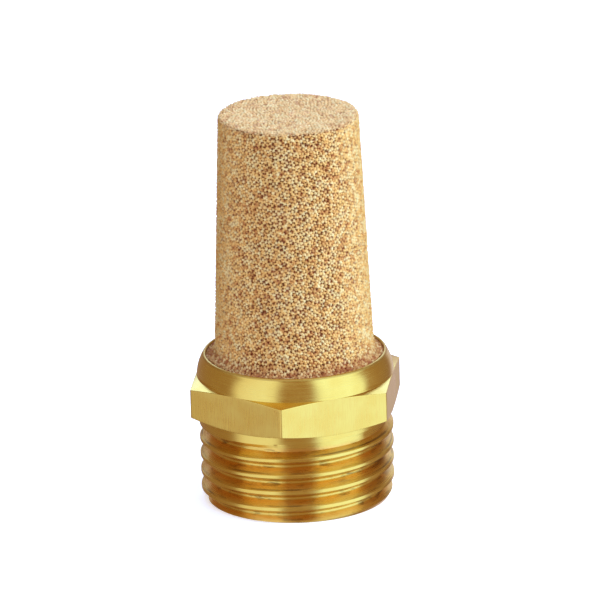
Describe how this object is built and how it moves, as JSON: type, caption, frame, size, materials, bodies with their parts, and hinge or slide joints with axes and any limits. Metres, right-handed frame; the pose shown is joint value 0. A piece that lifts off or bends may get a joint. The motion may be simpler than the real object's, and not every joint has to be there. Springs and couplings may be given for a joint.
{
  "type": "pneumatic muffler",
  "caption": "Pneumatic exhaust muffler: turned brass hexagon body with a male pipe thread, and a hollow tapered sintered bronze element crimped into its collar.",
  "frame": {"origin": "centre of the open inlet end of the thread", "axes": "+Z along the axis from the thread to the closed tip of the element; the hexagon has corners on +Y and -Y and flats facing +X and -X"},
  "size_m": [0.021, 0.0242, 0.0425],
  "materials": {
    "brass": "turned free-cutting brass with drawn hexagon flats",
    "sintered_bronze": "porous, fused bronze beads about half a millimetre across"
  },
  "bodies": {
    "root": {"brass_body": "brass", "sintered_element": "sintered_bronze"}
  },
  "joints": []
}
